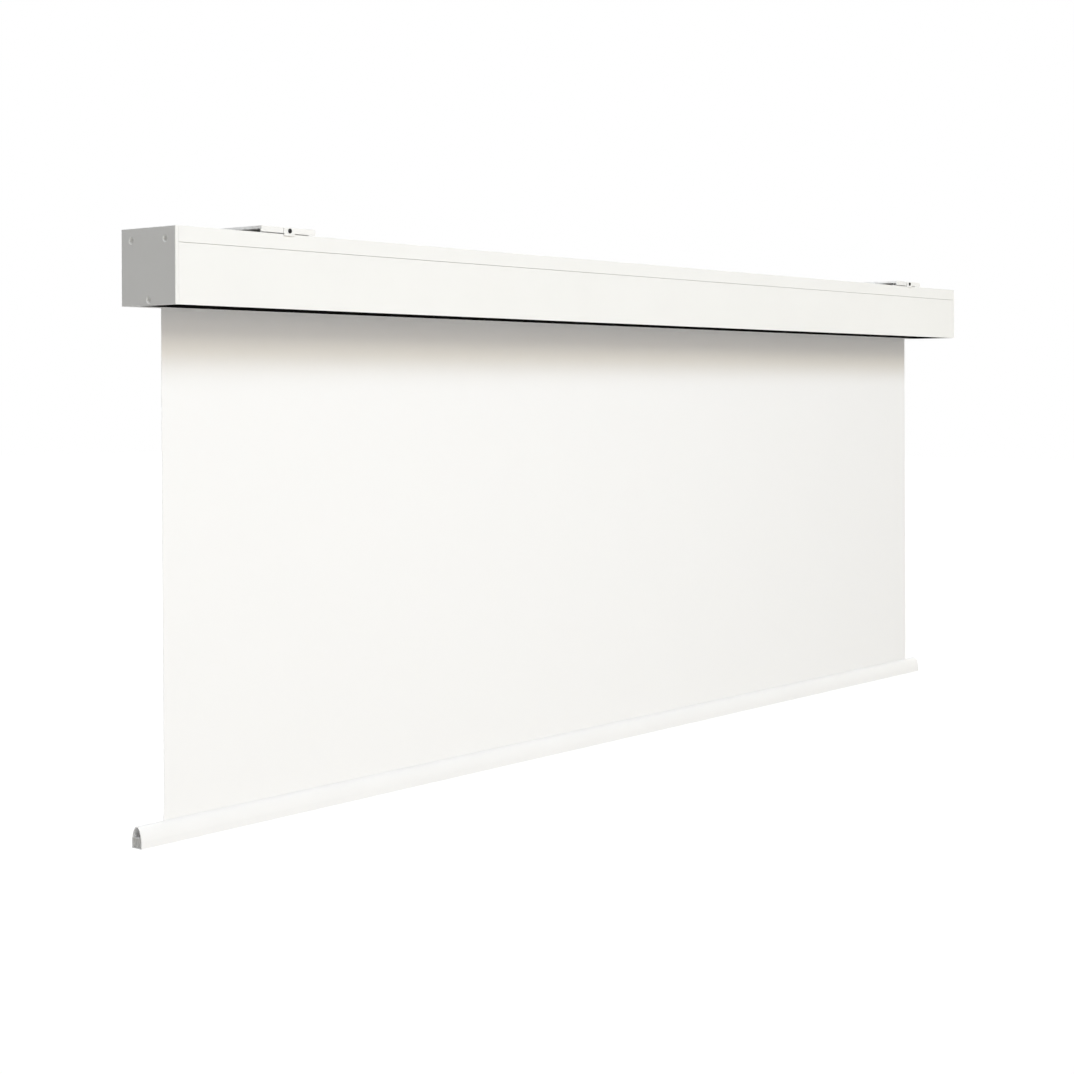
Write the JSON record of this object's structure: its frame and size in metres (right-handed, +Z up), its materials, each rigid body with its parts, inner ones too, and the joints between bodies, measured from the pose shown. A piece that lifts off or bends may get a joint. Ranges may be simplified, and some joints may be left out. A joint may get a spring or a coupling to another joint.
{
  "type": "motorized projector screen",
  "caption": "Ceiling-hung motorised projection screen: square case with a driven roller, white cloth, and a bell-section bottom bar on two sliding brackets.",
  "frame": {"origin": "centre of the ceiling plane that the tops of the two brackets touch, above the middle of the case", "axes": "+X runs along the case to the right as the audience sees it, -Y faces the audience, +Z is up"},
  "size_m": [2.52, 0.1353, 0.9755],
  "materials": {
    "white_powder_coat": "white satin powder coat on extruded aluminium, slight orange peel",
    "black_powder_coat": "matt black powder coat on extruded aluminium",
    "painted_screw": "white painted countersunk heads on zinc plated steel shanks",
    "zinc_steel": "bright zinc plate",
    "dark_steel": "black oxide steel",
    "mill_aluminium": "mill finish with fine drawn lines",
    "black_plastic": "moulded, fine grain",
    "adjuster_plastic": "moulded yellow nylon",
    "grey_plastic": "moulded light grey, fine grain",
    "nylon": "natural nylon",
    "black_rubber": "soft moulded rubber",
    "screen_cloth": "matt white coated projection cloth, very fine grain"
  },
  "bodies": {
    "case": {"case_profile": "white_powder_coat", "front_cover": "white_powder_coat", "underside_panel": "black_powder_coat", "end_cap_left": "white_powder_coat", "end_cap_right": "white_powder_coat", "cap_screw_left_front": "painted_screw", "cap_screw_left_rear": "painted_screw", "cap_screw_left_bottom": "painted_screw", "cap_screw_right_front": "painted_screw", "cap_screw_right_rear": "painted_screw", "cap_screw_right_bottom": "painted_screw", "motor_carrier": "zinc_steel", "idler_carrier": "zinc_steel", "motor_head": "black_plastic", "motor_tube": "zinc_steel", "idler_bearing": "nylon", "cable_grommet": "black_rubber"},
    "roller": {"roller_tube": "mill_aluminium", "motor_crown": "black_plastic", "drive_wheel": "black_plastic", "output_shaft": "zinc_steel", "idler_plug": "black_plastic", "idler_pin": "zinc_steel", "cloth_keder": "nylon", "fabric_roll": "screen_cloth"},
    "bar": {"bottom_bar": "white_powder_coat", "ballast_bar": "zinc_steel", "bar_insert_left": "grey_plastic", "bar_insert_right": "grey_plastic", "fabric_hem": "screen_cloth", "hem_rod": "nylon", "screen_fabric": "screen_cloth"},
    "up_limit": {"limit_adjuster_up": "adjuster_plastic"},
    "down_limit": {"limit_adjuster_down": "adjuster_plastic"},
    "bracket_left": {"ceiling_bracket_left": "white_powder_coat", "bracket_clip_left": "white_powder_coat", "clip_screw_left": "dark_steel", "clip_nut_left": "zinc_steel"},
    "bracket_right": {"ceiling_bracket_right": "white_powder_coat", "bracket_clip_right": "white_powder_coat", "clip_screw_right": "dark_steel", "clip_nut_right": "zinc_steel"}
  },
  "joints": [
    {"name": "bar_drop", "type": "slide", "parent": "case", "child": "bar", "axis": [0, 0, 1], "range_m": [-0.69, 0.844], "deforming": ["screen_fabric"]},
    {"name": "roller_turn", "type": "hinge", "parent": "case", "child": "roller", "pos_m": [0, 0.00915, -0.063], "axis": [1, 0, 0], "range_deg": [-1140, 1392]},
    {"name": "bracket_left_slide", "type": "slide", "parent": "case", "child": "bracket_left", "axis": [1, 0, 0], "range_m": [-0.15, 0.4]},
    {"name": "bracket_right_slide", "type": "slide", "parent": "case", "child": "bracket_right", "axis": [1, 0, 0], "range_m": [-0.4, 0.15]},
    {"name": "up_limit_turn", "type": "hinge", "parent": "case", "child": "up_limit", "pos_m": [-1.2449, -0.01385, -0.0565], "axis": [0, -1, 0], "continuous": true},
    {"name": "down_limit_turn", "type": "hinge", "parent": "case", "child": "down_limit", "pos_m": [-1.2449, -0.01385, -0.0695], "axis": [0, -1, 0], "continuous": true}
  ],
  "couplings": [
    {"joint": "roller_turn", "follows": "bar_drop", "rad_per_m": 28.694}
  ]
}
